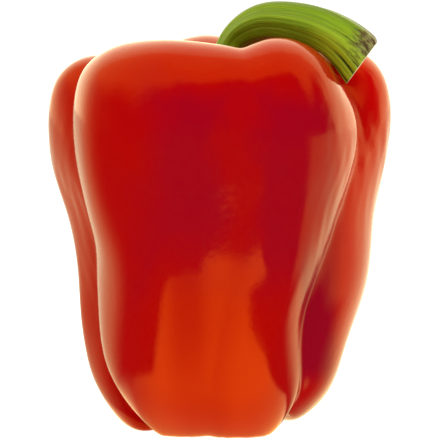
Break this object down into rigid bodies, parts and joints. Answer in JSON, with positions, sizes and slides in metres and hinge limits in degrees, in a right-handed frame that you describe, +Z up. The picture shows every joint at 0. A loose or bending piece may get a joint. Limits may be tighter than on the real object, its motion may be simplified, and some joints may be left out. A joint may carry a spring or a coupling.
{
  "type": "bell pepper",
  "caption": "Whole ripe bell pepper standing on the tips of its lobes, with its calyx and bent cut stem.",
  "frame": {"origin": "middle of the bounding box's footprint, on the surface that the pepper stands on", "axes": "+Z up, from the tips of the lobes towards the stem; the broad double front lobe faces -Y and the stem bends towards +X"},
  "size_m": [0.0884, 0.0809, 0.1086],
  "materials": {
    "fruit_skin": "glossy waxy red skin",
    "stem_green": "satin green, finely ribbed"
  },
  "bodies": {
    "root": {"fruit": "fruit_skin", "stem": "stem_green"}
  },
  "joints": []
}
